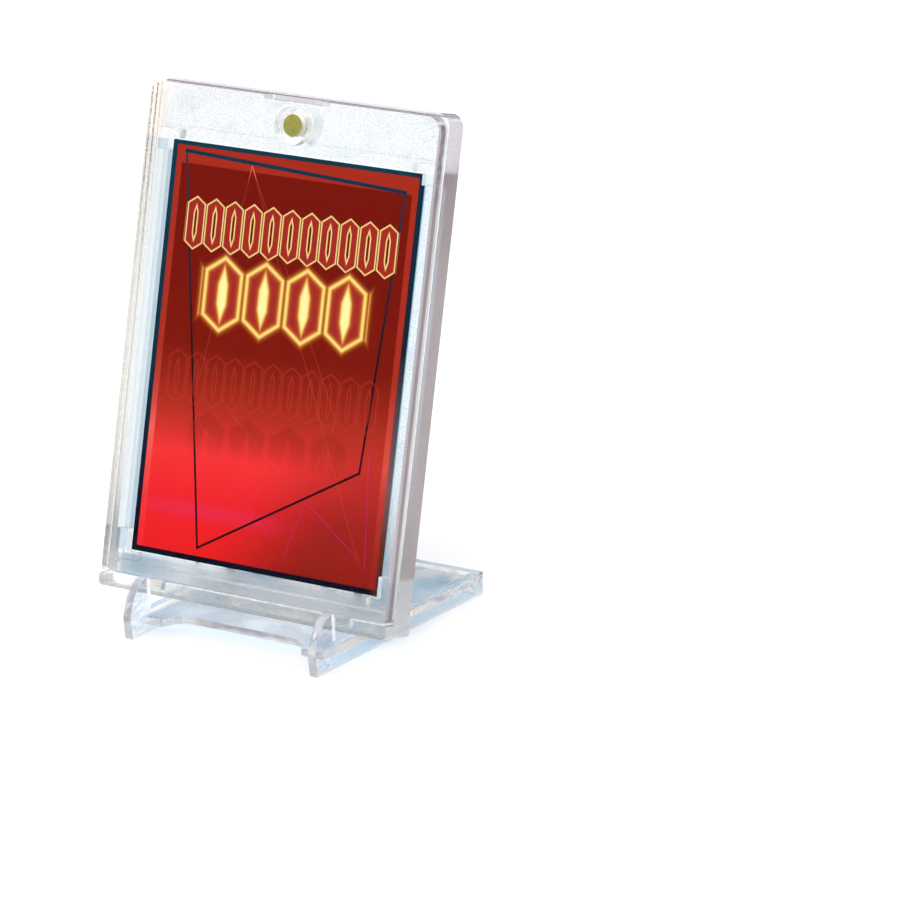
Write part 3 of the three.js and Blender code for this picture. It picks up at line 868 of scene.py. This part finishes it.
AZIMUTH = 32.1              # degrees
ELEVATION = 16.6
ROLL = -0.26
DISTANCE = 1.011
LENS = 200.6
SENSOR = 36
AIM_RIGHT = 58.5 * MM       # the aim point beside the object, which stands left in the frame
AIM_BEHIND = 0.7 * MM       # and just behind its foremost point
AIM_HEIGHT = 54.5 * MM


def towards(azimuth, elevation):
    """The direction right of straight ahead by an azimuth and up by an elevation, in degrees."""
    azimuth, elevation = math.radians(azimuth), math.radians(elevation)
    level = math.cos(elevation)
    return Vector((math.sin(azimuth) * level, -math.cos(azimuth) * level, math.sin(elevation)))


def make_camera():
    """The photographer's camera, far off with a long lens."""
    data = bpy.data.cameras.new("camera")
    data.lens = LENS
    data.sensor_width = SENSOR
    data.clip_start = 0.05
    data.clip_end = 20
    camera = bpy.data.objects.new("camera", data)
    bpy.context.scene.collection.objects.link(camera)
    middle = (cad_low + cad_high) / 2
    aim = Vector((middle.x + AIM_RIGHT, cad_low.y + AIM_BEHIND, AIM_HEIGHT))
    back = towards(AZIMUTH, ELEVATION)
    turn = (-back).to_track_quat("-Z", "Y").to_matrix().to_4x4()
    roll = Matrix.Rotation(math.radians(ROLL), 4, "Z")
    camera.matrix_world = Matrix.Translation(aim + back * DISTANCE) @ turn @ roll
    bpy.context.scene.camera = camera


def make_floor():
    """A sheet of white paper under the stand."""
    tree = Tree("floor_paper")
    at = tree.place()
    shade = tree.ramp(tree.noise(at, 0.02, 2), [(0.3, grey(0.94)), (0.7, grey(0.95))])
    body = tree.add("ShaderNodeBsdfPrincipled", Base_Color=shade, Roughness=0.9)
    mesh = bpy.data.meshes.new("floor")
    half = 1.1
    corners = [(-half, -half, 0), (half, -half, 0), (half, half, 0), (-half, half, 0)]
    mesh.from_pydata(corners, [], [(0, 1, 2, 3)])
    floor = bpy.data.objects.new("floor", mesh)
    mesh.materials.append(tree.output(body.outputs[0]))
    bpy.context.scene.collection.objects.link(floor)


def make_light(name, place, target, size, power):
    """A square soft box that faces its target."""
    data = bpy.data.lights.new(name, "AREA")
    data.shape = "SQUARE"
    data.size = size
    data.energy = power
    light = bpy.data.objects.new(name, data)
    light.location = place
    light.rotation_mode = "QUATERNION"
    light.rotation_quaternion = (Vector(target) - Vector(place)).to_track_quat("-Z", "Y")
    bpy.context.scene.collection.objects.link(light)


SKY_STRENGTH = 0.65


class Sky(Tree):
    """The studio: cool, but warm on its right, with dark screens left of the camera and behind."""

    def __init__(self):
        world = bpy.data.worlds.new("studio")
        world.use_nodes = True
        self.nodes, self.links = world.node_tree.nodes, world.node_tree.links
        where = self.nodes.new("ShaderNodeTexCoord").outputs["Generated"]

        def patch(direction, rim, core):
            closeness = self.vector("DOT_PRODUCT", where, direction, output="Value")
            return self.fade(closeness, math.cos(math.radians(rim)), math.cos(math.radians(core)))

        cool, warm, dark = (0.80, 0.87, 0.95, 1), (1.06, 0.98, 0.90, 1), (0.08, 0.05, 0.055, 1)
        colour = self.mix(patch(towards(55, 25), 75, 30), cool, warm)
        colour = self.mix(patch(towards(-30.7, 5), 18, 8), colour, dark)
        colour = self.mix(self.fade(self.split(where)[2], 0.0, -0.02), colour, grey(1.4))
        colour = self.mix(patch(towards(-149, -4.5), 20, 9), colour, (0.26, 0.22, 0.24, 1))
        background = self.nodes["Background"]
        self.links.new(colour, background.inputs["Color"])
        background.inputs["Strength"].default_value = SKY_STRENGTH
        bpy.context.scene.world = world


make_camera()
make_floor()
Sky()
make_light("key", place=towards(5, 50) * 1.15, target=(0, 0, 0.05), size=0.7, power=7.2)
make_light("top", place=(-0.3, 0.5, 1.2), target=(-0.2, 0.3, 0), size=1.0, power=11)

BOUNCES = 48                # light has to cross many clear faces

scene = bpy.context.scene
scene.view_settings.view_transform = "Standard"
scene.cycles.max_bounces = BOUNCES
scene.cycles.transmission_bounces = BOUNCES
scene.cycles.glossy_bounces = BOUNCES
scene.cycles.transparent_max_bounces = 32
scene.cycles.caustics_refractive = False
scene.cycles.caustics_reflective = False
